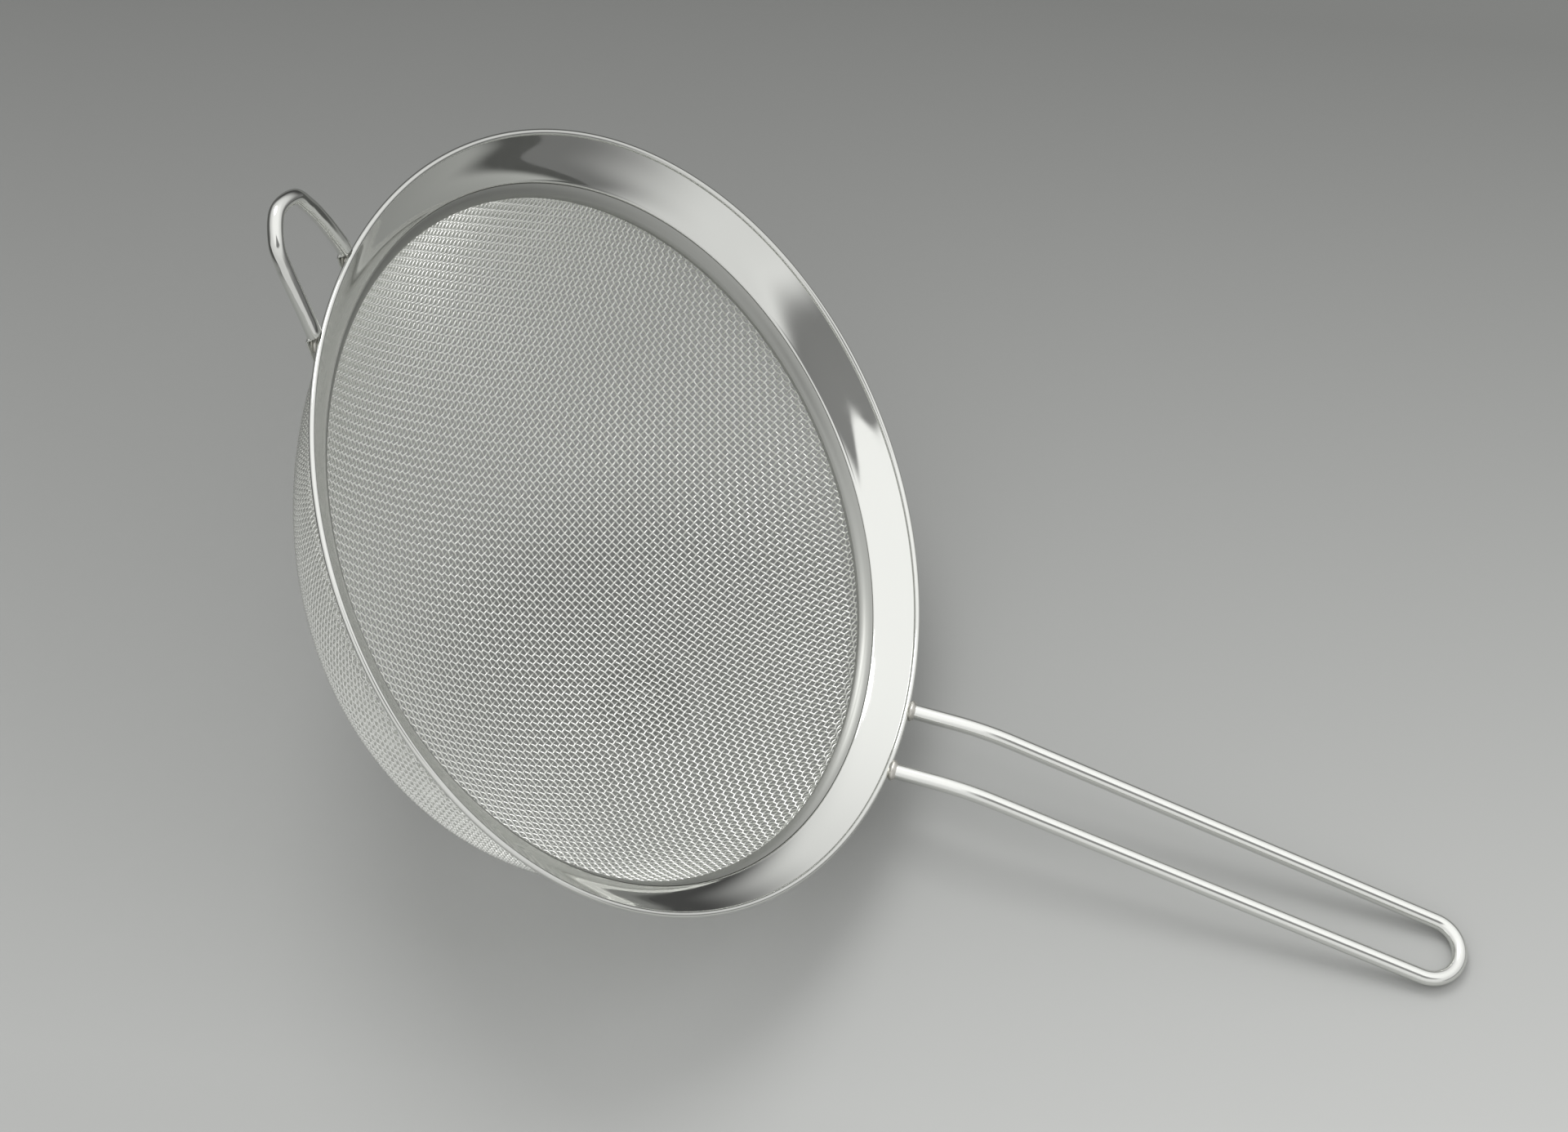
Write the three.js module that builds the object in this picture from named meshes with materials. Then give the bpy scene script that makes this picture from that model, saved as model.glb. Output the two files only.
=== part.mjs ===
// Fine mesh sieve: a polished rim with a woven wire bowl, a bent wire handle and a wire rest hook.
// Millimetres, +Z up. It lies as on a table, on its bowl and on the end of its handle, and the
// origin is on that table, under the middle of the sieve. The handle points along +X.
//
// Inside the sieve group the bowl's axis is Z, the opening faces +Z, and z = 0 is the middle of
// the rim's rolled edge.
import * as THREE from 'three';

// Rim: a rolled outer edge, a sloping flange and a short upright skirt, pressed from one sheet
const rimRadius = 100;
const rolledEdgeRadius = 0.8;
const sheet = 0.8;
const skirtInnerRadius = 90.1;
const skirtTop = -6.4;
const skirtBottom = -9.4;
const skirtBendRadius = 1.2;
const flangeSag = 0.4;

// Clamp ring: a sheet folded over a nose, with a ledge under the flange and a short leg against the bowl
const ledgeTop = -6.9;
const noseRadius = 0.7;
const noseCentreRadius = 86.75;
const noseCentreHeight = -8.6;
const clampBottom = -10.3;

// Bowl of wire cloth: part of a ball, with an upright brim between the clamp ring and the skirt
const clothThickness = 0.8;
const bowlRadius = 99.5;
const bowlCentreHeight = 28.5;
const brimTop = -8.65;

// On the -Y side the cloth is pushed out a little, more and more down from the brim and out from the middle
const bowlBulge = 4.4;
const bulgeTop = -15;
const bulgeFull = -37;
const bulgeReach = 75;

// Both bent wires are of the same stock
const wireRadius = 2;

// Handle: two legs that rise from the rim, bend once, run out side by side and join in a round end
const handleHalfWidthAtRim = 9.2;
const handleHalfWidthAtEnd = 8.4;
const handleRootAngle = THREE.MathUtils.degToRad(40);
const handleAngle = THREE.MathUtils.degToRad(26.3);
const handleRootLength = 20.9;
const handleRootDrop = 0.9;
const handleReach = 234;
const handleBendLength = 7;
const handleCollarRadius = 2.5;
const handleCollarThickness = 0.9;

// Rest hook: two legs that lean towards each other, with a round end, on feet under the flange
const hookHalfWidthAtRim = 13.1;
const hookEndRadius = 9.3;
const hookAngle = THREE.MathUtils.degToRad(28.6);
const hookLength = 32.2;
const hookFootLength = 6.6;
const hookBendLength = 2.5;
const hookWeldRadius = 1.6;
const hookWeldThickness = 0.6;
const hookStandOff = 4.2;

// Clearance between pieces that touch
const gap = 0.3;

// Facets
const turns = 60;
const bowlSteps = 13;
const wireSides = 10;

const polishedSteel = new THREE.MeshStandardMaterial({ color: 0xdcddd9, roughness: 0.08, metalness: 1 });
const satinSteel = new THREE.MeshStandardMaterial({ color: 0xd2d3cf, roughness: 0.32, metalness: 1 });
const wireCloth = new THREE.MeshStandardMaterial({ color: 0xc6c7c2, roughness: 0.4, metalness: 1 });

const sieve = new THREE.Group();

function addPiece(name, geometry, material) {
  const piece = new THREE.Mesh(geometry, material);
  piece.name = name;
  sieve.add(piece);
  return piece;
}

// Turns a profile of (radius, height) points about Z
function turned(points) {
  return new THREE.LatheGeometry(points, turns).rotateX(Math.PI / 2);
}

// A point in the upright plane of a leg, a distance along a slope from a start
function along(start, angle, distance) {
  return new THREE.Vector2(start.x + distance * Math.cos(angle), start.y + distance * Math.sin(angle));
}

// A round wire along a path, with flat ends
function wire(path, steps) {
  const section = new THREE.Shape();
  for (let side = 0; side < wireSides; side += 1) {
    const turn = (side / wireSides) * 2 * Math.PI;
    const x = wireRadius * Math.cos(turn);
    const y = wireRadius * Math.sin(turn);
    if (side === 0) section.moveTo(x, y);
    else section.lineTo(x, y);
  }
  section.closePath();
  return new THREE.ExtrudeGeometry(section, { steps, extrudePath: path, bevelEnabled: false });
}

// One leg as straight stretches, rounded off where they meet over the given length
function leg(path, start, corner, end, bendLength) {
  const before = corner.clone().addScaledVector(start.clone().sub(corner).normalize(), bendLength);
  const after = corner.clone().addScaledVector(end.clone().sub(corner).normalize(), bendLength);
  path.add(new THREE.LineCurve3(start, before));
  path.add(new THREE.QuadraticBezierCurve3(before, corner, after));
  path.add(new THREE.LineCurve3(after, end));
}

// Half a circle from one leg's end to the other's, bulging along outward
function roundEnd(path, from, to, outward) {
  const arm = (4 / 3) * (Math.SQRT2 - 1);
  const middle = from.clone().add(to).multiplyScalar(0.5);
  const radius = from.distanceTo(middle);
  const side = from.clone().sub(middle);
  const tip = middle.clone().addScaledVector(outward, radius);
  const reach = outward.clone().multiplyScalar(radius * arm);
  const span = side.multiplyScalar(arm);
  path.add(new THREE.CubicBezierCurve3(from, from.clone().add(reach), tip.clone().add(span), tip));
  path.add(new THREE.CubicBezierCurve3(tip, tip.clone().sub(span), to.clone().add(reach), to));
}

// Rim ring
const edgeCentre = new THREE.Vector2(rimRadius - rolledEdgeRadius, 0);
const skirtOuterRadius = skirtInnerRadius + sheet;
const flangeSlope = Math.atan2(edgeCentre.y - skirtTop, edgeCentre.x - skirtInnerRadius);
const topJoin = Math.PI - 0.35;
const underJoin = -Math.PI / 2 - 0.7;

function onRolledEdge(angle) {
  return along(edgeCentre, angle, rolledEdgeRadius);
}

// The flange dips a little below a straight slope on both of its sides
function dipped(from, to) {
  const middle = from.clone().add(to).multiplyScalar(0.5);
  return along(middle, flangeSlope - Math.PI / 2, 2 * flangeSag);
}

const skirtCorner = new THREE.Vector2(skirtInnerRadius, skirtTop);
const flangeFoot = along(skirtCorner, flangeSlope, skirtBendRadius);
const flangeHead = onRolledEdge(topJoin);
const underHead = onRolledEdge(underJoin);
const underFoot = along(flangeFoot, flangeSlope - Math.PI / 2, sheet);
const flangeDip = dipped(flangeFoot, flangeHead);
const underDip = dipped(underFoot, underHead);

const rimOutline = new THREE.Path()
  .moveTo(skirtInnerRadius, skirtBottom)
  .lineTo(skirtOuterRadius, skirtBottom)
  .lineTo(skirtOuterRadius, skirtTop - skirtBendRadius - sheet / 2)
  .lineTo(underFoot.x, underFoot.y)
  .quadraticCurveTo(underDip.x, underDip.y, underHead.x, underHead.y)
  .absarc(edgeCentre.x, edgeCentre.y, rolledEdgeRadius, underJoin, topJoin, false)
  .quadraticCurveTo(flangeDip.x, flangeDip.y, flangeFoot.x, flangeFoot.y)
  .quadraticCurveTo(skirtCorner.x, skirtCorner.y, skirtInnerRadius, skirtTop - skirtBendRadius)
  .lineTo(skirtInnerRadius, skirtBottom);
addPiece('rim_ring', turned(rimOutline.getPoints(4)), polishedSteel);

// Mesh bowl
const brimOuterRadius = skirtInnerRadius - gap;
const brimInnerRadius = brimOuterRadius - clothThickness;
const bowlInnerRadius = bowlRadius - clothThickness;

function bowlArc(radius, edgeRadius) {
  const edgeAngle = -Math.acos(edgeRadius / radius);
  const arc = new THREE.EllipseCurve(0, bowlCentreHeight, radius, radius, -Math.PI / 2, edgeAngle);
  const points = arc.getPoints(bowlSteps);
  points[0].x = 0;
  return points;
}

function pushedOut(geometry) {
  const places = geometry.getAttribute('position');
  for (let index = 0; index < places.count; index += 1) {
    const y = places.getY(index);
    const down = THREE.MathUtils.smoothstep(-places.getZ(index), -bulgeTop, -bulgeFull);
    const out = THREE.MathUtils.smoothstep(-y, 0, bulgeReach);
    places.setY(index, y - bowlBulge * down * out);
  }
  return geometry;
}

const bowlOutline = [
  ...bowlArc(bowlRadius, brimOuterRadius),
  new THREE.Vector2(brimOuterRadius, brimTop),
  new THREE.Vector2(brimInnerRadius, brimTop),
  ...bowlArc(bowlInnerRadius, brimInnerRadius).reverse(),
];
addPiece('mesh_bowl', pushedOut(turned(bowlOutline)), wireCloth);

// Clamp ring
const clampOuterRadius = brimInnerRadius - gap;
const clampInnerRadius = clampOuterRadius - sheet;
const ledgeOuterRadius = skirtInnerRadius - gap;
const noseBottom = noseCentreHeight - noseRadius;
const clampOutline = new THREE.Path()
  .moveTo(clampInnerRadius, clampBottom)
  .lineTo(clampOuterRadius, clampBottom)
  .lineTo(clampOuterRadius, ledgeTop - 2 * sheet)
  .lineTo(ledgeOuterRadius, ledgeTop - sheet)
  .lineTo(ledgeOuterRadius, ledgeTop)
  .lineTo(noseCentreRadius, noseCentreHeight + noseRadius)
  .absarc(noseCentreRadius, noseCentreHeight, noseRadius, Math.PI / 2, 1.5 * Math.PI, false)
  .lineTo(clampInnerRadius - sheet / 2, noseBottom)
  .lineTo(clampInnerRadius, noseBottom - sheet / 2)
  .lineTo(clampInnerRadius, clampBottom);
addPiece('clamp_ring', turned(clampOutline.getPoints(4)), satinSteel);

// Handle, welded by its two ends to the outside of the rolled edge
function handlePoint(profilePoint, halfWidth) {
  return new THREE.Vector3(profilePoint.x, halfWidth, profilePoint.y);
}

const edgeAtHandle = new THREE.Vector2(
  Math.sqrt(edgeCentre.x ** 2 - handleHalfWidthAtRim ** 2),
  edgeCentre.y - handleRootDrop,
);
const collarStart = rolledEdgeRadius + handleRootDrop * Math.sin(handleRootAngle) + gap;
const wireStart = collarStart + handleCollarThickness + gap;
const handleCorner = along(edgeAtHandle, handleRootAngle, handleRootLength);
const straightReach = handleReach - handleHalfWidthAtEnd * Math.cos(handleAngle) - handleCorner.x;
const handleEndStart = along(handleCorner, handleAngle, straightReach / Math.cos(handleAngle));
const handleOutward = new THREE.Vector3(Math.cos(handleAngle), 0, Math.sin(handleAngle));

const handlePath = new THREE.CurvePath();
leg(
  handlePath,
  handlePoint(along(edgeAtHandle, handleRootAngle, wireStart), handleHalfWidthAtRim),
  handlePoint(handleCorner, handleHalfWidthAtRim),
  handlePoint(handleEndStart, handleHalfWidthAtEnd),
  handleBendLength,
);
roundEnd(
  handlePath,
  handlePoint(handleEndStart, handleHalfWidthAtEnd),
  handlePoint(handleEndStart, -handleHalfWidthAtEnd),
  handleOutward,
);
leg(
  handlePath,
  handlePoint(handleEndStart, -handleHalfWidthAtEnd),
  handlePoint(handleCorner, -handleHalfWidthAtRim),
  handlePoint(along(edgeAtHandle, handleRootAngle, wireStart), -handleHalfWidthAtRim),
  handleBendLength,
);
addPiece('handle', wire(handlePath, 84), satinSteel);

// Flared weld collars at the handle's ends
const collarMiddle = along(edgeAtHandle, handleRootAngle, collarStart + handleCollarThickness / 2);
for (const [name, side] of [['handle_weld_left', 1], ['handle_weld_right', -1]]) {
  const collar = new THREE.CylinderGeometry(handleCollarRadius, handleCollarRadius, handleCollarThickness, 20);
  const weld = addPiece(name, collar.rotateZ(Math.PI / 2), satinSteel);
  weld.rotation.y = -handleRootAngle;
  weld.position.copy(handlePoint(collarMiddle, side * handleHalfWidthAtRim));
}

// Rest hook, opposite the handle. Its profile is drawn outwards from the rim, then put on the -X side
const footCorner = along(edgeCentre, flangeSlope - Math.PI / 2, hookStandOff);
const footEnd = along(footCorner, flangeSlope, -hookFootLength);
const hookEndStart = along(footCorner, hookAngle, hookLength - hookEndRadius);
const hookOutward = new THREE.Vector3(-Math.cos(hookAngle), 0, Math.sin(hookAngle));

// The rim curves away from the middle of the hook, so a foot beside it lies nearer
const rimSetback = rimRadius - Math.sqrt(rimRadius ** 2 - hookHalfWidthAtRim ** 2);

function hookPoint(profilePoint, halfWidth) {
  return new THREE.Vector3(rimSetback - profilePoint.x, halfWidth, profilePoint.y);
}

const hookPath = new THREE.CurvePath();
leg(
  hookPath,
  hookPoint(footEnd, hookHalfWidthAtRim),
  hookPoint(footCorner, hookHalfWidthAtRim),
  hookPoint(hookEndStart, hookEndRadius),
  hookBendLength,
);
roundEnd(hookPath, hookPoint(hookEndStart, hookEndRadius), hookPoint(hookEndStart, -hookEndRadius), hookOutward);
leg(
  hookPath,
  hookPoint(hookEndStart, -hookEndRadius),
  hookPoint(footCorner, -hookHalfWidthAtRim),
  hookPoint(footEnd, -hookHalfWidthAtRim),
  hookBendLength,
);
addPiece('rest_hook', wire(hookPath, 44), polishedSteel);

// Weld spots between the hook's feet and the underside of the flange
const footMiddle = along(footCorner, flangeSlope, -hookFootLength / 2);
const weldMiddle = along(footMiddle, flangeSlope + Math.PI / 2, wireRadius + gap + hookWeldThickness / 2);
for (const [name, side] of [['hook_weld_left', 1], ['hook_weld_right', -1]]) {
  const spot = new THREE.CylinderGeometry(hookWeldRadius, hookWeldRadius, hookWeldThickness, 16);
  const weld = addPiece(name, spot.rotateX(Math.PI / 2), satinSteel);
  weld.rotation.y = flangeSlope;
  weld.position.copy(hookPoint(weldMiddle, side * hookHalfWidthAtRim));
}

// Lay the sieve down until the bowl and the handle's end touch the same plane
const endX = handleReach;
const endZ = handleEndStart.y + handleHalfWidthAtEnd * Math.sin(handleAngle) - bowlCentreHeight;
const restTilt = Math.atan2(endZ, endX) + Math.asin((bowlRadius - wireRadius) / Math.hypot(endX, endZ));
sieve.rotation.y = restTilt;

const part = new THREE.Group();
part.add(sieve);
part.updateMatrixWorld(true);
const bounds = new THREE.Box3().setFromObject(part, true);
const middle = bounds.getCenter(new THREE.Vector3());
sieve.position.set(-middle.x, -middle.y, -bounds.min.z);

export default part;
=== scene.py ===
import math
import bpy
import numpy as np
from mathutils import Matrix, Vector


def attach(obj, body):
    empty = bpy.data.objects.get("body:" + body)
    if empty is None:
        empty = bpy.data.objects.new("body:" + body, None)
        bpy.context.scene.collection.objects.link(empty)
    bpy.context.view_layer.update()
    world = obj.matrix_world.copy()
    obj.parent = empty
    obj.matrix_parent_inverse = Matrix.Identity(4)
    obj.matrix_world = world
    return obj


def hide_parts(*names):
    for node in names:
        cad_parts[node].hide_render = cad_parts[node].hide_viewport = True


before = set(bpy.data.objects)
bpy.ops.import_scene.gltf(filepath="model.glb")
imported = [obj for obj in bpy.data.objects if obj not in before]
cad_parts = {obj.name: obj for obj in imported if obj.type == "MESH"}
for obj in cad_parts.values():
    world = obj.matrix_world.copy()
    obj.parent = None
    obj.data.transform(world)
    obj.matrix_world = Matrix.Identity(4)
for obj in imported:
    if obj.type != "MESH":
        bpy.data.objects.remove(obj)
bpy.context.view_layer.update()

scene = bpy.context.scene
scene.view_settings.view_transform = "Standard"

# Pieces are drawn in millimetres with the bowl's axis on Z and the middle of the rolled edge at z = 0,
# then one move lays the sieve on its bowl and the end of its handle.
millimetre = 0.001
lay = {"tilt": math.radians(34.5954), "shift": (-66.8925, 0.0, 76.0390)}
layDown = Matrix.Translation(Vector(lay["shift"])) @ Matrix.Rotation(lay["tilt"], 4, "Y")
toFrame = Matrix.Scale(millimetre, 4) @ layDown

# Shortest length that is divided by
tiny = 1e-9


# Colours are written as a screen shows them, and shaders take them as amounts of light
def linear(hexColour):
    parts = [int(hexColour[i:i + 2], 16) / 255 for i in (1, 3, 5)]
    return [p / 12.92 if p <= 0.04045 else ((p + 0.055) / 1.055) ** 2.4 for p in parts] + [1.0]


def addNode(tree, kind, links=None, **settings):
    node = tree.nodes.new(kind)
    for key, value in settings.items():
        setattr(node, key, value)
    for socket, value in (links or {}).items():
        if isinstance(value, bpy.types.NodeSocket):
            tree.links.new(value, node.inputs[socket])
        else:
            node.inputs[socket].default_value = value
    return node


def ramp(tree, value, start, end, first, last, kind="SMOOTHSTEP"):
    return addNode(tree, "ShaderNodeMapRange", {
        "Value": value, "From Min": start, "From Max": end, "To Min": first, "To Max": last},
        interpolation_type=kind).outputs["Result"]


def combined(tree, kind, one, two):
    return addNode(tree, "ShaderNodeMath", {0: one, 1: two}, operation=kind).outputs["Value"]


def dotProduct(tree, one, two):
    product = addNode(tree, "ShaderNodeVectorMath", {0: one, 1: two}, operation="DOT_PRODUCT")
    return product.outputs["Value"]


# Inputs 6 and 7 of the mixing node are its two colours, and output 2 is their mix
def mixedColour(tree, share, one, two):
    return addNode(tree, "ShaderNodeMix", {"Factor": share, 6: one, 7: two}, data_type="RGBA").outputs[2]


def noise(tree, place, scale, detail):
    return addNode(tree, "ShaderNodeTexNoise", {
        "Vector": place, "Scale": scale, "Detail": detail}).outputs["Fac"]


def bump(tree, height, strength, distance):
    return addNode(tree, "ShaderNodeBump", {
        "Height": height, "Strength": strength, "Distance": distance}).outputs["Normal"]


def newMaterial(name):
    material = bpy.data.materials.new(name)
    material.use_nodes = True
    tree = material.node_tree
    tree.nodes.clear()
    return material, tree


def surface(tree, links):
    shader = addNode(tree, "ShaderNodeBsdfPrincipled", links)
    addNode(tree, "ShaderNodeOutputMaterial", {"Surface": shader.outputs["BSDF"]})


def placed(points):
    move = np.array(toFrame)
    points = np.asarray(points, dtype=float)
    return points @ move[:3, :3].T + move[:3, 3]


def newPiece(name, points, faces, material, crease=40.0):
    mesh = bpy.data.meshes.new(name)
    mesh.from_pydata(placed(points).tolist(), [], faces)
    mesh.shade_smooth()
    mesh.set_sharp_from_angle(angle=math.radians(crease))
    mesh.materials.append(material)
    piece = bpy.data.objects.new(name, mesh)
    scene.collection.objects.link(piece)
    return piece


def belongs(piece, slotName, *nodes):
    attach(piece, "root")
    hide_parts(*nodes)


# A closed outline of (radius, height) points, run anticlockwise, turned about Z
def turned(outline, turns):
    outline = np.asarray(outline, dtype=float)
    count = len(outline)
    angles = np.arange(turns) * 2 * math.pi / turns
    points = np.stack([
        np.outer(np.cos(angles), outline[:, 0]),
        np.outer(np.sin(angles), outline[:, 0]),
        np.tile(outline[:, 1], (turns, 1)),
    ], axis=-1).reshape(-1, 3)
    faces = []
    for turn in range(turns):
        here, there = turn * count, (turn + 1) % turns * count
        for k in range(count):
            nextK = (k + 1) % count
            faces.append((here + k, there + k, there + nextK, here + nextK))
    return points, faces


# Faces between rows of points, where each row goes once round
def bandFaces(rows, turns):
    faces = []
    for row in range(rows - 1):
        here, there = row * turns, (row + 1) * turns
        for k in range(turns):
            nextK = (k + 1) % turns
            faces.append((here + k, here + nextK, there + nextK, there + k))
    return faces


def arc(centre, radius, start, end, steps):
    angles = np.radians(np.linspace(start, end, steps))
    return np.stack([centre[0] + radius * np.cos(angles), centre[1] + radius * np.sin(angles)], axis=1)


def bent(before, corner, after, steps):
    t = np.linspace(0, 1, steps)[:, None]
    before, corner, after = (np.asarray(p, dtype=float) for p in (before, corner, after))
    return (1 - t) ** 2 * before + 2 * t * (1 - t) * corner + t ** 2 * after


# Materials

# Most values of a noise texture lie in this span
noiseSpan = (0.3, 0.7)


def sieveCoordinates(tree):
    where = addNode(tree, "ShaderNodeTexCoord")
    undo = addNode(tree, "ShaderNodeMapping", {"Vector": where.outputs["Object"]}, vector_type="TEXTURE")
    undo.inputs["Location"].default_value = [millimetre * s for s in lay["shift"]]
    undo.inputs["Rotation"].default_value = (0.0, lay["tilt"], 0.0)
    return undo.outputs["Vector"]


# Stainless steel, buffed to a mirror: a clear image of the room with a faint haze and a slow waviness
polished = {
    "colour": "#d8d9d5", "haze": (0.035, 0.085), "hazeScale": 260.0, "hazeDetail": 4.0,
    "wave": 0.012, "waveDetail": 1.0, "waveStrength": 0.5, "waveHeight": 0.00003,
}
polishedSteel, tree = newMaterial("stainlessPolished")
place = sieveCoordinates(tree)
haze = noise(tree, place, polished["hazeScale"], polished["hazeDetail"])
wave = noise(tree, place, 1 / polished["wave"], polished["waveDetail"])
surface(tree, {
    "Base Color": linear(polished["colour"]), "Metallic": 1.0,
    "Roughness": ramp(tree, haze, *noiseSpan, *polished["haze"], "LINEAR"),
    "Normal": bump(tree, wave, polished["waveStrength"], polished["waveHeight"])})

# Stainless steel, satin: fine rings from turning against an abrasive belt spread the highlight
satin = {
    "colour": "#a0a19d", "roughness": (0.36, 0.5), "line": 0.0005, "lineDetail": 3.0,
    "lineStrength": 0.4, "lineHeight": 0.000006,
}
satinSteel, tree = newMaterial("stainlessSatin")
split = addNode(tree, "ShaderNodeSeparateXYZ", {"Vector": sieveCoordinates(tree)})
flat = addNode(tree, "ShaderNodeCombineXYZ", {"X": split.outputs["X"], "Y": split.outputs["Y"]})
fromAxis = addNode(tree, "ShaderNodeVectorMath", {0: flat.outputs["Vector"]}, operation="LENGTH")
section = addNode(tree, "ShaderNodeCombineXYZ", {
    "X": fromAxis.outputs["Value"], "Y": split.outputs["Z"]})
rings = noise(tree, section.outputs["Vector"], 1 / satin["line"], satin["lineDetail"])
surface(tree, {
    "Base Color": linear(satin["colour"]), "Metallic": 1.0,
    "Roughness": ramp(tree, rings, *noiseSpan, *satin["roughness"], "LINEAR"),
    "Normal": bump(tree, rings, satin["lineStrength"], satin["lineHeight"])})

# Stainless steel wire, drawn and then polished lightly: faint streaks along the wire
drawn = {
    "colour": "#e2e3df", "roughness": (0.11, 0.2), "streaks": 26.0, "run": 90.0,
    "streakScale": 1.0, "streakDetail": 3.0,
}
drawnSteel, tree = newMaterial("stainlessDrawnWire")
around = addNode(tree, "ShaderNodeAttribute", attribute_name="wireTurn").outputs["Fac"]
along = addNode(tree, "ShaderNodeAttribute", attribute_name="wireRun").outputs["Fac"]
streakPlace = addNode(tree, "ShaderNodeCombineXYZ", {
    "X": combined(tree, "MULTIPLY", around, drawn["streaks"]),
    "Y": combined(tree, "MULTIPLY", along, drawn["run"])})
streaks = noise(tree, streakPlace.outputs["Vector"], drawn["streakScale"], drawn["streakDetail"])
surface(tree, {
    "Base Color": linear(drawn["colour"]), "Metallic": 1.0,
    "Roughness": ramp(tree, streaks, *noiseSpan, *drawn["roughness"], "LINEAR")})

# Stainless steel weld metal: duller than the wire, with a faint ripple and a trace of straw tint
weldLook = {
    "colour": "#cdccc6", "tint": "#c8c5be", "roughness": (0.3, 0.45), "grain": 0.0006, "grainDetail": 2.0,
    "rippleStrength": 0.5, "rippleHeight": 0.00006,
}
weldSteel, tree = newMaterial("stainlessWeld")
ripple = noise(tree, sieveCoordinates(tree), 1 / weldLook["grain"], weldLook["grainDetail"])
surface(tree, {
    "Base Color": mixedColour(tree, ripple, linear(weldLook["colour"]), linear(weldLook["tint"])),
    "Metallic": 1.0, "Roughness": ramp(tree, ripple, *noiseSpan, *weldLook["roughness"], "LINEAR"),
    "Normal": bump(tree, ripple, weldLook["rippleStrength"], weldLook["rippleHeight"])})

# Stainless steel cloth wire: bright drawn wire, whose sheen differs a little from place to place
clothLook = {"colour": "#e8e9e5", "roughness": (0.24, 0.36), "speck": 0.0012, "speckDetail": 2.0}
clothSteel, tree = newMaterial("stainlessWireCloth")
speck = noise(tree, sieveCoordinates(tree), 1 / clothLook["speck"], clothLook["speckDetail"])
surface(tree, {
    "Base Color": linear(clothLook["colour"]), "Metallic": 1.0,
    "Roughness": ramp(tree, speck, *noiseSpan, *clothLook["roughness"], "LINEAR")})
print("materials ready")

# Rim

# The press leaves the flange slightly wavy from its edge to its foot, so its slope comes and goes:
# swellAt gives places down the flange, and swellBy the turn there, in shares of the swell's degrees.
rim = {
    "edgeRadius": 99.2, "edgeRound": 0.8, "edgeSteps": 40, "sheet": 0.8,
    "flangeTop": (98.51, -0.4), "flangeSteps": 49, "swell": 2.4, "smoothings": 24,
    "swellAt": (0.0, 0.12, 0.48, 0.65, 0.85, 1.0), "swellBy": (0.0, 0.3, -1.0, -0.3, 1.6, 3.4),
    "skirtInner": 89.5, "skirtTop": -6.7, "skirtBottom": -9.4, "skirtCut": 0.15,
    "bend": 0.6, "bendSteps": 20, "outerStart": 0.3, "outerCorner": 0.55, "outerSteps": 14,
    "turns": 288, "offCentre": (0.95, -0.8), "lean": 0.72,
}
flangeWidth = rim["flangeTop"][0] - rim["skirtInner"]
slopeDown = math.atan2(rim["flangeTop"][1] - rim["skirtTop"], flangeWidth)
foot = np.array([rim["skirtInner"] + rim["bend"] * math.cos(slopeDown),
                 rim["skirtTop"] + rim["bend"] * math.sin(slopeDown)])
head = np.array(rim["flangeTop"])
downFlange = np.linspace(0, 1, rim["flangeSteps"])
smoothSwell = np.interp(downFlange, rim["swellAt"], rim["swellBy"])
for _ in range(rim["smoothings"]):
    smoothSwell[1:-1] = (smoothSwell[:-2] + 2 * smoothSwell[1:-1] + smoothSwell[2:]) / 4
chord = foot - head
heading = math.atan2(chord[1], chord[0]) + np.radians(rim["swell"]) * (smoothSwell - smoothSwell.mean())
steps = np.stack([np.cos(heading), np.sin(heading)], axis=1)
flange = np.vstack([[0, 0], np.cumsum((steps[:-1] + steps[1:]) / 2, axis=0)])

# The wavy line is turned and stretched to run from the head to the foot
stretch = complex(*chord) / complex(*flange[-1])
flange = flange @ np.array([[stretch.real, stretch.imag], [-stretch.imag, stretch.real]]) + head
alongFlange = np.gradient(flange, axis=0)
alongFlange /= np.linalg.norm(alongFlange, axis=1)[:, None]
under = flange + rim["sheet"] * np.stack([-alongFlange[:, 1], alongFlange[:, 0]], axis=1)

edge = np.array([rim["edgeRadius"], 0.0])
startAngle = math.degrees(math.atan2(*(under[0] - edge)[::-1]))
endAngle = math.degrees(math.atan2(*(head - edge)[::-1])) % 360
skirtInner, skirtTop, skirtBottom = rim["skirtInner"], rim["skirtTop"], rim["skirtBottom"]
skirtOuter = skirtInner + rim["sheet"]
skirtCut = rim["skirtCut"]
rimOutline = np.vstack([
    [[skirtInner + skirtCut, skirtBottom], [skirtOuter - skirtCut, skirtBottom],
     [skirtOuter, skirtBottom + skirtCut]],
    bent((skirtOuter, skirtTop - rim["bend"] - rim["outerStart"]),
         (skirtOuter, skirtTop - rim["outerCorner"]), under[-1], rim["outerSteps"]),
    under[::-1][1:-1],
    arc(edge, rim["edgeRound"], startAngle, endAngle, rim["edgeSteps"]),
    flange[1:-1],
    bent(flange[-1], (skirtInner, skirtTop), (skirtInner, skirtTop - rim["bend"]), rim["bendSteps"]),
    [[skirtInner, skirtBottom + skirtCut]],
])
points, faces = turned(rimOutline, rim["turns"])


def levelWays(points):
    return points[:, :2] / np.maximum(np.linalg.norm(points[:, :2], axis=1), tiny)[:, None]


# The skirt was pressed a little off the middle of the edge and leans, so the flange is wider and
# deeper on one side
def offMiddle(points, share):
    rise = rim["lean"] * (levelWays(points) @ rim["offCentre"])
    move = np.column_stack([np.tile(rim["offCentre"], (len(points), 1)), rise])
    return points + np.asarray(share).reshape(-1, 1) * move


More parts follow.
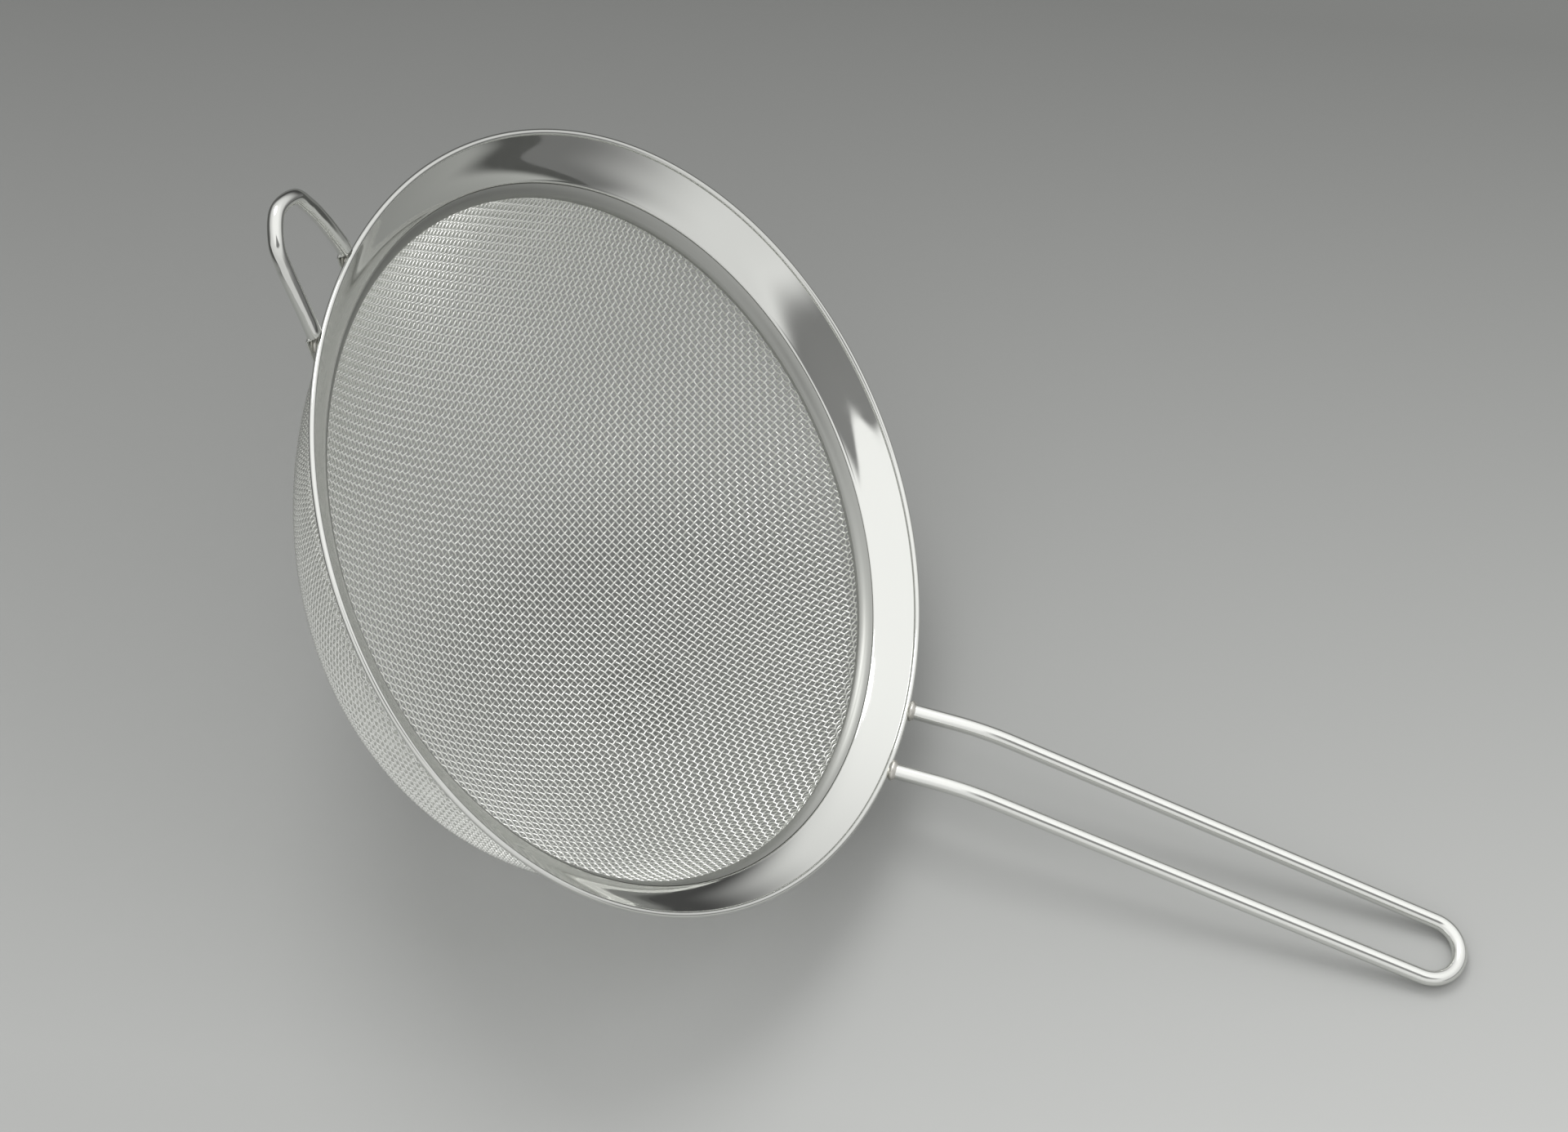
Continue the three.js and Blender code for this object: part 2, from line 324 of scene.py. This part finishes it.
inwards = np.clip((rim["flangeTop"][0] - rimOutline[:, 0]) / flangeWidth, 0, 1)
points = offMiddle(points, np.tile(inwards, rim["turns"]))
rimRing = newPiece("rimRing", points, faces, polishedSteel)
belongs(rimRing, "polished_steel", "rim_ring")
print("rim turned:", len(faces), "faces")

# Clamp ring

clamp = {
    "legInner": 87.3, "legOuter": 88.1, "legTop": -9.0, "bottom": -10.3,
    "rollOuter": 89.48, "rollTop": -6.85, "rollSide": 0.9, "rollCut": 0.12, "rollSteps": 16,
    "crown": (87.75, -7.6), "noseCentre": (87.45, -9.35), "noseRound": 0.45, "noseTurn": (150, 270),
    "noseSteps": 16, "noseOff": (0.15, -0.7), "creaseStart": 0.05, "creaseDrop": 0.25, "creaseSteps": 5,
    "turns": 288,
}
legInner, legOuter, rollOuter = clamp["legInner"], clamp["legOuter"], clamp["rollOuter"]
rollTop, rollCut = clamp["rollTop"], clamp["rollCut"]
noseX = clamp["noseCentre"][0]
nose = arc(clamp["noseCentre"], clamp["noseRound"], *clamp["noseTurn"], clamp["noseSteps"])
noseBottom = nose[-1][1]
clampOutline = np.vstack([
    [[legInner, clamp["bottom"]], [legOuter, clamp["bottom"]], [legOuter, clamp["legTop"]]],
    [[rollOuter, rollTop - clamp["rollSide"]], [rollOuter, rollTop - rollCut]],
    bent((rollOuter - rollCut, rollTop), clamp["crown"], nose[0], clamp["rollSteps"])[:-1],
    nose,
    bent((noseX + clamp["creaseStart"], noseBottom), (legInner, noseBottom),
         (legInner, noseBottom - clamp["creaseDrop"]), clamp["creaseSteps"]),
])
points, faces = turned(clampOutline, clamp["turns"])
inwards = np.clip((rollOuter - clampOutline[:, 0]) / (rollOuter - noseX), 0, 1)
points[:, :2] += np.tile(inwards, clamp["turns"])[:, None] * clamp["noseOff"]
points = offMiddle(points, 1.0)
clampRing = newPiece("clampRing", points, faces, satinSteel)
belongs(clampRing, "satin_steel", "clamp_ring")
print("clamp ring turned:", len(faces), "faces")

# Wire along a path

# Sweeps a round section along every chain of edges. Points carry how far they swing out of the cloth.
wireTree = bpy.data.node_groups.new("wireAlongPath", "GeometryNodeTree")
sockets = wireTree.interface
sockets.new_socket("Geometry", in_out="INPUT", socket_type="NodeSocketGeometry")
radiusInput = sockets.new_socket("Wire radius", in_out="INPUT", socket_type="NodeSocketFloat")
crimpInput = sockets.new_socket("Crimp height", in_out="INPUT", socket_type="NodeSocketFloat")
sidesInput = sockets.new_socket("Sides", in_out="INPUT", socket_type="NodeSocketInt")
finishInput = sockets.new_socket("Finish", in_out="INPUT", socket_type="NodeSocketMaterial")
sockets.new_socket("Geometry", in_out="OUTPUT", socket_type="NodeSocketGeometry")
given = addNode(wireTree, "NodeGroupInput")
swing = addNode(wireTree, "GeometryNodeInputNamedAttribute", {"Name": "swing"}, data_type="FLOAT_VECTOR")
lift = addNode(wireTree, "ShaderNodeVectorMath", {
    0: swing.outputs["Attribute"], "Scale": given.outputs["Crimp height"]}, operation="SCALE")
crimped = addNode(wireTree, "GeometryNodeSetPosition", {
    "Geometry": given.outputs["Geometry"], "Offset": lift.outputs["Vector"]})
path = addNode(wireTree, "GeometryNodeMeshToCurve", {"Mesh": crimped.outputs["Geometry"]})
runAlong = addNode(wireTree, "GeometryNodeSplineParameter")
marked = addNode(wireTree, "GeometryNodeStoreNamedAttribute", {
    "Geometry": path.outputs["Curve"], "Name": "wireRun", "Value": runAlong.outputs["Length"]},
    data_type="FLOAT", domain="POINT")
ring = addNode(wireTree, "GeometryNodeCurvePrimitiveCircle", {
    "Resolution": given.outputs["Sides"], "Radius": given.outputs["Wire radius"]})
turnAlong = addNode(wireTree, "GeometryNodeSplineParameter")
markedRing = addNode(wireTree, "GeometryNodeStoreNamedAttribute", {
    "Geometry": ring.outputs["Curve"], "Name": "wireTurn", "Value": turnAlong.outputs["Factor"]},
    data_type="FLOAT", domain="POINT")
tube = addNode(wireTree, "GeometryNodeCurveToMesh", {
    "Curve": marked.outputs["Geometry"], "Profile Curve": markedRing.outputs["Geometry"],
    "Fill Caps": True})
softened = addNode(wireTree, "GeometryNodeSetShadeSmooth", {"Geometry": tube.outputs["Mesh"]})
realised = addNode(wireTree, "GeometryNodeRealizeInstances", {"Geometry": softened.outputs["Geometry"]})
finished = addNode(wireTree, "GeometryNodeSetMaterial", {
    "Geometry": realised.outputs["Geometry"], "Material": given.outputs["Finish"]})
addNode(wireTree, "NodeGroupOutput", {"Geometry": finished.outputs["Geometry"]})


def sweptWire(name, chains, swings, radius, crimp, sides, material):
    starts = np.cumsum([0] + [len(c) for c in chains])
    edges = [(s + k, s + k + 1) for s, c in zip(starts, chains) for k in range(len(c) - 1)]
    mesh = bpy.data.meshes.new(name + "Path")
    mesh.from_pydata(placed(np.vstack(chains)).tolist(), edges, [])
    turn = np.array(layDown)[:3, :3]
    mesh.attributes.new("swing", "FLOAT_VECTOR", "POINT").data.foreach_set(
        "vector", (np.vstack(swings) @ turn.T).astype(np.float32).ravel())
    guide = bpy.data.objects.new(name + "Path", mesh)
    scene.collection.objects.link(guide)
    sweep = guide.modifiers.new("sweep", "NODES")
    sweep.node_group = wireTree
    sweep[radiusInput.identifier] = radius * millimetre
    sweep[crimpInput.identifier] = crimp * millimetre
    sweep[sidesInput.identifier] = sides
    sweep[finishInput.identifier] = material
    made = guide.evaluated_get(bpy.context.evaluated_depsgraph_get())
    result = bpy.data.meshes.new_from_object(made)
    result.name = name
    guide.modifiers.remove(sweep)
    bpy.data.objects.remove(guide)
    bpy.data.meshes.remove(mesh)
    if "swing" in result.attributes:
        result.attributes.remove(result.attributes["swing"])
    piece = bpy.data.objects.new(name, result)
    scene.collection.objects.link(piece)
    return piece


# Wire cloth

cloth = {
    "pitch": 1.49, "wireRadius": 0.24, "crimp": 0.215, "sides": 6, "perPitch": 3,
    "ballRadius": 98.9, "ballHeight": 29.0, "brimRadius": 88.8, "brimTop": -8.9, "leanFrom": -30.0,
    "bulge": 4.4, "bulgeTop": -15.0, "bulgeFull": -37.0, "bulgeReach": 75.0,
    "turn": math.radians(-19.3), "lean": (math.radians(1.75), math.radians(-15.6)),
    "spareKnots": 2, "netTop": -0.2, "fewestKnots": 3, "shares": 4,
}

# Cloth can shear but its wires keep their spacing, so each knot is the mirror image of an earlier knot
# in the plane through the two between them. That net starts from two wires crossing near the pole.
ballRadius = cloth["ballRadius"]
wallAngle = math.asin(cloth["brimRadius"] / ballRadius)
wallTop = cloth["ballHeight"] - ballRadius * math.cos(wallAngle)
topAngle = wallAngle + (cloth["brimTop"] - wallTop) / ballRadius
farthest = (topAngle + abs(cloth["lean"][1])) * ballRadius
reach = int(farthest / cloth["pitch"]) + cloth["spareKnots"]
stepAngle = 2 * math.asin(cloth["pitch"] / ballRadius / 2)
knots = np.full((2 * reach + 1, 2 * reach + 1, 3), np.nan)
lean = Vector((*cloth["lean"], 0.0))
laid = np.array(Matrix.Rotation(cloth["turn"], 3, "Z") @ Matrix.Rotation(lean.length, 3, lean))
lengthways, crossways, pole = laid[:, 0], laid[:, 1], -laid[:, 2]
for k in range(-reach, reach + 1):
    knots[reach + k, reach] = math.cos(k * stepAngle) * pole + math.sin(k * stepAngle) * lengthways
    knots[reach, reach + k] = math.cos(k * stepAngle) * pole + math.sin(k * stepAngle) * crossways
for sideI, sideJ in ((1, 1), (1, -1), (-1, 1), (-1, -1)):
    for i in range(1, reach + 1):
        for j in range(1, reach + 1):
            back = knots[reach + sideI * (i - 1), reach + sideJ * (j - 1)]
            one = knots[reach + sideI * i, reach + sideJ * (j - 1)]
            two = knots[reach + sideI * (i - 1), reach + sideJ * j]
            if np.isnan(one[2] + two[2]) or max(one[2], two[2]) > cloth["netTop"]:
                continue
            mirror = np.cross(one, two)
            mirror /= np.linalg.norm(mirror)
            knots[reach + sideI * i, reach + sideJ * j] = back - 2 * back.dot(mirror) * mirror


def smoothShare(values, nothing, everything):
    share = np.clip((values - nothing) / (everything - nothing), 0, 1)
    return share ** 2 * (3 - 2 * share)


# Points on the ball, with those past the wall angle stood upright as the brim. On the -Y side the cloth
# has been pushed out a little, more and more down from the brim and out from the middle. All of it is
# off the middle like the skirt, and towards the brim it leans like the skirt too.
def onBowl(directions):
    polar = np.arccos(np.clip(-directions[:, 2], -1, 1))
    level = levelWays(directions)
    brim = polar > wallAngle
    points = directions * ballRadius + [0, 0, cloth["ballHeight"]]
    points[brim, :2] = level[brim] * cloth["brimRadius"]
    points[brim, 2] = wallTop + (polar[brim] - wallAngle) * ballRadius
    down = smoothShare(points[:, 2], cloth["bulgeTop"], cloth["bulgeFull"])
    out = smoothShare(points[:, 1], 0.0, -cloth["bulgeReach"])
    points[:, 1] -= cloth["bulge"] * down * out
    leaning = smoothShare(points[:, 2], cloth["leanFrom"], cloth["brimTop"])
    points[:, :2] += (1 - leaning)[:, None] * rim["offCentre"]
    points = offMiddle(points, leaning)
    outward = directions.copy()
    outward[brim] = np.column_stack([level[brim], np.zeros(brim.sum())])
    return points, outward


# One wire through a row of knots, as points and as how far each swings over or under the crossing wires
def wireChain(row, first, sign):
    inside = np.where(np.isfinite(row[:, 2]) & (row[:, 2] < -math.cos(topAngle)))[0]
    runs = np.split(inside, np.where(np.diff(inside) > 1)[0] + 1)
    kept = max(runs, key=len)
    if len(kept) < cloth["fewestKnots"]:
        return None
    row = row[kept]
    per = cloth["perPitch"]
    where = np.arange((len(row) - 1) * per + 1) / per
    low = np.minimum(where.astype(int), len(row) - 2)
    part = (where - low)[:, None]
    directions = row[low] * (1 - part) + row[low + 1] * part
    directions /= np.linalg.norm(directions, axis=1)[:, None]
    points, outward = onBowl(directions)
    swing = np.cos(math.pi * (where + kept[0] + first)) * sign
    return points, outward * swing[:, None]


bowlPieces = []
for family, sign in (("Lengthways", 1), ("Crossways", -1)):
    chains = []
    for index in range(2 * reach + 1):
        row = knots[:, index] if sign > 0 else knots[index]
        chain = wireChain(row, index, sign)
        if chain is not None:
            chains.append(chain)
    total = sum(len(c[0]) for c in chains)
    groups = [[] for _ in range(cloth["shares"])]
    count = 0
    for chain in chains:
        groups[min(cloth["shares"] - 1, count * cloth["shares"] // total)].append(chain)
        count += len(chain[0])
    for number, group in enumerate(groups, 1):
        piece = sweptWire(f"cloth{family}{number}", [c[0] for c in group], [c[1] for c in group],
                          cloth["wireRadius"], cloth["crimp"], cloth["sides"], clothSteel)
        belongs(piece, "wire_cloth", "mesh_bowl")
        bowlPieces.append(piece)
clothFaces = sum(len(p.data.polygons) for p in bowlPieces)
print("cloth woven:", clothFaces, "faces in", len(bowlPieces), "pieces")

# Handle

handle = {
    "wireRadius": 2.0, "sides": 28, "halfAtRim": 9.2, "halfAtEnd": 8.4, "reach": 234.0,
    "rootAngle": math.radians(40.0), "rootLength": 20.9, "rootDrop": 0.9, "rootStart": 0.4,
    "angle": math.radians(26.3), "bend": 8.0, "bendSteps": 14, "endSteps": 41, "spacing": 2.0,
}


def upSlope(start, angle, distance):
    return np.array([start[0] + distance * math.cos(angle), start[1] + distance * math.sin(angle)])


def straight(start, end, spacing):
    count = max(2, int(np.linalg.norm(np.subtract(end, start)) / spacing) + 1)
    return np.linspace(start, end, count)


# One leg from its root to where the round end starts, then the round end, then the leg mirrored
def loopedWire(root, corner, end, outward):
    root, corner, end, outward = (np.asarray(p, dtype=float) for p in (root, corner, end, outward))
    before = corner + handle["bend"] * (root - corner) / np.linalg.norm(root - corner)
    after = corner + handle["bend"] * (end - corner) / np.linalg.norm(end - corner)
    oneLeg = np.vstack([
        straight(root, before, handle["spacing"])[:-1],
        bent(before, corner, after, handle["bendSteps"])[:-1],
        straight(after, end, 2 * handle["spacing"])[:-1],
    ])
    turn = np.linspace(0, math.pi, handle["endSteps"])[:, None]
    middle = np.array([end[0], 0.0, end[2]])
    roundEnd = middle + np.cos(turn) * (end - middle) + np.sin(turn) * outward * end[1]
    return np.vstack([oneLeg, roundEnd, (oneLeg * [1, -1, 1])[::-1]])


halfAtRim, rootAngle = handle["halfAtRim"], handle["rootAngle"]
edgeAtHandle = np.array([math.sqrt(rim["edgeRadius"] ** 2 - halfAtRim ** 2), -handle["rootDrop"]])
collarFoot = rim["edgeRound"] + handle["rootDrop"] * math.sin(rootAngle)
rootPoint = upSlope(edgeAtHandle, rootAngle, collarFoot + handle["rootStart"])
cornerPoint = upSlope(edgeAtHandle, rootAngle, handle["rootLength"])
endX = handle["reach"] - handle["halfAtEnd"] * math.cos(handle["angle"])
endPoint = upSlope(cornerPoint, handle["angle"], (endX - cornerPoint[0]) / math.cos(handle["angle"]))
handleChain = loopedWire(
    (rootPoint[0], halfAtRim, rootPoint[1]), (cornerPoint[0], halfAtRim, cornerPoint[1]),
    (endPoint[0], handle["halfAtEnd"], endPoint[1]),
    (math.cos(handle["angle"]), 0.0, math.sin(handle["angle"])))
handleWire = sweptWire("handleWire", [handleChain], [np.zeros_like(handleChain)],
                       handle["wireRadius"], 0.0, handle["sides"], drawnSteel)
belongs(handleWire, "satin_steel", "handle")

# Flared collars where the legs are butt-welded to the rolled edge, each a little uneven all round.
# The outline is (distance up the leg, radius).
collar = {
    "outline": [(-0.9, 0.9), (-0.45, 1.75), (-0.1, 2.3), (0.25, 2.6), (0.6, 2.66), (0.9, 2.5),
                (1.15, 2.22), (1.45, 2.05), (1.6, 1.9)],
    "lobes": 3, "lobeHeight": 0.025, "ripples": 7, "rippleHeight": 0.015, "turns": 40, "crease": 60.0,
}
axis = np.array([math.cos(rootAngle), 0.0, math.sin(rootAngle)])
upward = np.array([-math.sin(rootAngle), 0.0, math.cos(rootAngle)])
sideways = np.array([0.0, 1.0, 0.0])
base = upSlope(edgeAtHandle, rootAngle, collarFoot)
turns = collar["turns"]
last = (len(collar["outline"]) - 1) * turns
faces = [tuple(range(turns - 1, -1, -1))]
faces += bandFaces(len(collar["outline"]), turns)
faces += [tuple(last + k for k in range(turns))]
for name, node, side in (
        ("handleWeldLeft", "handle_weld_left", 1), ("handleWeldRight", "handle_weld_right", -1)):
    origin = np.array([base[0], side * halfAtRim, base[1]])
    rows = []
    for offset, radius in collar["outline"]:
        for k in range(turns):
            t = 2 * math.pi * k / turns
            lobe = collar["lobeHeight"] * math.sin(collar["lobes"] * t + side)
            uneven = radius * (1 + lobe + collar["rippleHeight"] * math.sin(collar["ripples"] * t))
            around = math.cos(t) * sideways + math.sin(t) * upward
            rows.append(origin + axis * offset + uneven * around)
    weld = newPiece(name, rows, faces, weldSteel, crease=collar["crease"])
    belongs(weld, "satin_steel", node)
print("handle bent and welded")

# Rest hook

# One leg runs from the rim to the middle of the loop. Past the rim the wire is pressed to a tab that runs
# under the flange.
hook = {
    "wireRadius": 1.98, "sides": 32, "perPoint": 24, "footLength": 8.0, "crease": 50.0,
    "leg": [(-100.3, 12.86, -0.82), (-106.68, 12.04, 2.45), (-113.05, 11.09, 5.38), (-119.47, 9.74, 8.02),
            (-125.28, 7.2, 10.31), (-128.63, 0.0, 11.09)],
    "tabHalf": 0.7, "tabSink": 1.35, "tabWiden": 1.2, "cutAt": -0.6, "cutLean": 0.5,
}


# A smooth line through the points, with the same number of steps from each point to the next
def throughPoints(points, perPoint):
    before, after = 2 * points[0] - points[1], 2 * points[-1] - points[-2]
    padded = np.vstack([before, points, after])
    t = np.arange(perPoint)[:, None] / perPoint
    parts = []
    for a, b, c, d in zip(padded[:-3], padded[1:-2], padded[2:-1], padded[3:]):
        squared = 2 * a - 5 * b + 4 * c - d
        cubed = 3 * b - a - 3 * c + d
        parts.append(b + ((c - a) * t + squared * t ** 2 + cubed * t ** 3) / 2)
    return np.vstack(parts + [points[-1:]])


leg = np.array(hook["leg"])
alongFoot = np.array([-math.cos(slopeDown), 0.0, math.sin(slopeDown)])
acrossFoot = np.array([0.0, 1.0, 0.0])
offFoot = np.array([math.sin(slopeDown), 0.0, math.cos(slopeDown)])
oneSide = np.vstack([leg[0] - hook["footLength"] * alongFoot, leg])
hookChain = throughPoints(np.vstack([oneSide, (oneSide * [1, -1, 1])[-2::-1]]), hook["perPoint"])
restHook = sweptWire("restHook", [hookChain], [np.zeros_like(hookChain)],
                     hook["wireRadius"], 0.0, hook["sides"], polishedSteel)

# The tabs are pressed from the swept wire, measured from where each leg meets the rim
corners = np.empty(len(restHook.data.vertices) * 3)
restHook.data.vertices.foreach_get("co", corners)
fromFrame = np.array(toFrame.inverted())
local = corners.reshape(-1, 3) @ fromFrame[:3, :3].T + fromFrame[:3, 3]
fromLeg = local - np.column_stack([
    np.full(len(local), leg[0, 0]), np.sign(local[:, 1]) * leg[0, 1], np.full(len(local), leg[0, 2])])
inward, rise, swerve = -fromLeg @ alongFoot, fromLeg @ offFoot, fromLeg @ acrossFoot
pressed = inward > hook["cutAt"] + (hook["wireRadius"] - rise) * hook["cutLean"]
newRise = np.where(pressed, rise * hook["tabHalf"] / hook["wireRadius"] - hook["tabSink"], rise)
newSwerve = np.where(pressed, swerve * hook["tabWiden"], swerve)
local += np.outer(newRise - rise, offFoot) + np.outer(newSwerve - swerve, acrossFoot)
restHook.data.vertices.foreach_set("co", placed(local).ravel())
restHook.data.set_sharp_from_angle(angle=math.radians(hook["crease"]))
belongs(restHook, "polished_steel", "rest_hook")

# Weld spots between the tabs and the underside of the flange
spot = {
    "along": 2.4, "across": 2.0, "thick": 1.1, "run": 4.5, "lift": -0.2, "rows": 14, "turns": 28,
    "crease": 60.0,
}
spotMiddle = leg[0] - spot["run"] * alongFoot + spot["lift"] * offFoot
turns = spot["turns"]
for name, node, side in (
        ("hookWeldLeft", "hook_weld_left", 1), ("hookWeldRight", "hook_weld_right", -1)):
    origin = spotMiddle * [1, side, 1]
    rows = []
    for a in range(1, spot["rows"]):
        polar = math.pi * a / spot["rows"]
        for k in range(turns):
            t = 2 * math.pi * k / turns
            rows.append(origin + spot["along"] * math.sin(polar) * math.cos(t) * alongFoot
                        + spot["across"] * math.sin(polar) * math.sin(t) * acrossFoot
                        + spot["thick"] * math.cos(polar) * offFoot)
    faces = [(a, d, c, b) for a, b, c, d in bandFaces(spot["rows"] - 1, turns)]
    rows += [origin + spot["thick"] * offFoot, origin - spot["thick"] * offFoot]
    bottom = (spot["rows"] - 2) * turns
    for k in range(turns):
        nextK = (k + 1) % turns
        faces.append((len(rows) - 2, k, nextK))
        faces.append((len(rows) - 1, bottom + nextK, bottom + k))
    weld = newPiece(name, rows, faces, weldSteel, crease=spot["crease"])
    belongs(weld, "satin_steel", node)
print("hook bent and welded")

# Floor, light and camera

# Grey card lying square to the viewer. Its colour carries painted light falloff: paler towards the viewer
# and the handle, as the light from above and behind leaves it, and painted dark outside the picture's
# sides
floor = {
    "front": "#b2b3b1", "back": "#6b6c6a", "outer": "#3c3d3b", "left": 0.87, "right": 1.08,
    "roughness": 0.8, "across": (0.964, 0.266, 0.0), "away": (-0.266, 0.964, 0.0),
    "frontAt": -0.1, "backAt": 0.24, "sideAt": 0.2, "sideFade": (0.215, 0.36),
    "leftEdge": -0.9, "rightEdge": 0.56, "frontEdge": -0.29, "backEdge": 0.9,
}
paper, tree = newMaterial("matteGreyCard")
where = addNode(tree, "ShaderNodeTexCoord").outputs["Object"]
away = dotProduct(tree, where, floor["away"])
across = dotProduct(tree, where, floor["across"])
toBack = ramp(tree, away, floor["frontAt"], floor["backAt"], 0.0, 1.0, "LINEAR")
toRight = ramp(tree, across, -floor["sideAt"], floor["sideAt"], floor["left"], floor["right"], "LINEAR")
aside = addNode(tree, "ShaderNodeMath", {0: across}, operation="ABSOLUTE").outputs["Value"]
outwards = ramp(tree, aside, *floor["sideFade"], 0.0, 1.0)
# Painted light falloff: the card's tone is paler to the front and the right, and painted dark outside the
# picture's sides
tone = mixedColour(tree, toBack, linear(floor["front"]), linear(floor["back"]))
paintedSideLight = addNode(tree, "ShaderNodeVectorMath", {0: tone, "Scale": toRight}, operation="SCALE")
paintedFalloff = mixedColour(tree, outwards, paintedSideLight.outputs["Vector"], linear(floor["outer"]))
surface(tree, {"Base Color": paintedFalloff, "Roughness": floor["roughness"]})
cardCorners = []
for sideEdge, endEdge in (("leftEdge", "frontEdge"), ("rightEdge", "frontEdge"),
                          ("rightEdge", "backEdge"), ("leftEdge", "backEdge")):
    cardCorners.append(floor[sideEdge] * Vector(floor["across"]) + floor[endEdge] * Vector(floor["away"]))
mesh = bpy.data.meshes.new("floorCard")
mesh.from_pydata(cardCorners, [], [(0, 1, 2, 3)])
mesh.materials.append(paper)
floorCard = bpy.data.objects.new("floorCard", mesh)
scene.collection.objects.link(floorCard)

# A white tent: brightest overhead, darker low down and most of all behind, with a dark slot high up in
# front on the right
room = {
    "ground": 0.22, "front": 0.78, "frontFrom": -0.3, "frontTo": -0.55,
    "back": 0.08, "backFrom": 0.6, "backTo": 0.95, "backRise": 0.13,
    "wall": 0.91, "wallFrom": -0.08, "wallTo": 0.42, "roof": 0.34, "roofFrom": 0.45, "roofTo": 0.95,
    "slotTop": (-0.275, -0.335), "slotFoot": (0.55, 0.74), "slotLeft": (0.0, 0.2), "slotLight": 0.24,
    "leastHeight": 0.05,
}
world = bpy.data.worlds.new("studio")
world.use_nodes = True
scene.world = world
tree = world.node_tree
tree.nodes.clear()
where = addNode(tree, "ShaderNodeTexCoord").outputs["Generated"]
way = addNode(tree, "ShaderNodeSeparateXYZ", {"Vector": where})
height = way.outputs["Z"]
lifted = combined(tree, "MAXIMUM", height, room["leastHeight"])
forward = combined(tree, "DIVIDE", way.outputs["Y"], lifted)
sides = ramp(tree, way.outputs["Y"], room["frontFrom"], room["frontTo"], room["ground"], room["front"])
behind = ramp(tree, way.outputs["Y"], room["backFrom"], room["backTo"], 0.0, 1.0)
darkening = combined(tree, "MULTIPLY", behind, room["ground"] - room["back"])
ground = combined(tree, "SUBTRACT", sides, darkening)
aboveBack = combined(tree, "SUBTRACT", height, combined(tree, "MULTIPLY", behind, room["backRise"]))
wall = ramp(tree, aboveBack, room["wallFrom"], room["wallTo"], ground, room["wall"])
roof = ramp(tree, height, room["roofFrom"], room["roofTo"], 0.0, room["roof"])
slotHeight = combined(tree, "MULTIPLY", ramp(tree, forward, *room["slotTop"], 0.0, 1.0),
                      ramp(tree, height, *room["slotFoot"], 0.0, 1.0))
slot = combined(tree, "MULTIPLY", slotHeight, ramp(tree, way.outputs["X"], *room["slotLeft"], 0.0, 1.0))
light = combined(tree, "MULTIPLY", combined(tree, "ADD", wall, roof),
                 ramp(tree, slot, 0.0, 1.0, 1.0, room["slotLight"]))
sky = addNode(tree, "ShaderNodeBackground", {"Color": (1.0, 1.0, 1.0, 1.0), "Strength": light})
addNode(tree, "ShaderNodeOutputWorld", {"Surface": sky.outputs["Background"]})

# One softbox above and a little behind, which gives the soft shadows under the bowl and the handle
softbox = {"towards": (-0.42, 0.36, 0.84), "distance": 4.0, "size": 2.0, "power": 46.0}
lampData = bpy.data.lights.new("softbox", "AREA")
lampData.shape = "DISK"
lampData.size = softbox["size"]
lampData.energy = softbox["power"]
lamp = bpy.data.objects.new("softbox", lampData)
towards = Vector(softbox["towards"]).normalized()
lampTurn = towards.to_track_quat("Z", "Y").to_matrix().to_4x4()
lamp.matrix_world = Matrix.Translation(towards * softbox["distance"]) @ lampTurn
scene.collection.objects.link(lamp)

# The camera's place was worked out on the sieve, so it is laid down with it
view = {
    "right": (0.6890, 0.2630, 0.6754), "ahead": (0.4740, 0.5414, -0.6944),
    "sieve": (-39.7, -11.2, 2404.8), "focalPixels": 12000, "pictureWidth": 1920, "sensor": 36.0,
    "nearest": 0.05, "farthest": 50.0,
}
ahead = Vector(view["ahead"]).normalized()
right = Vector(view["right"])
right = (right - ahead * right.dot(ahead)).normalized()
down = ahead.cross(right)
fromSieve = Matrix((right, down, ahead)).transposed()
eye = -(fromSieve @ Vector(view["sieve"]))
turn = layDown.to_3x3()
axes = Matrix((turn @ right, turn @ -down, turn @ -ahead)).transposed().to_4x4()
camera = bpy.data.objects.new("camera", bpy.data.cameras.new("camera"))
camera.matrix_world = Matrix.Translation(toFrame @ eye) @ axes
camera.data.sensor_fit = "HORIZONTAL"
camera.data.sensor_width = view["sensor"]
camera.data.lens = view["focalPixels"] * view["sensor"] / view["pictureWidth"]
camera.data.clip_start = view["nearest"]
camera.data.clip_end = view["farthest"]
scene.collection.objects.link(camera)
scene.camera = camera
print("floor, light and camera set")
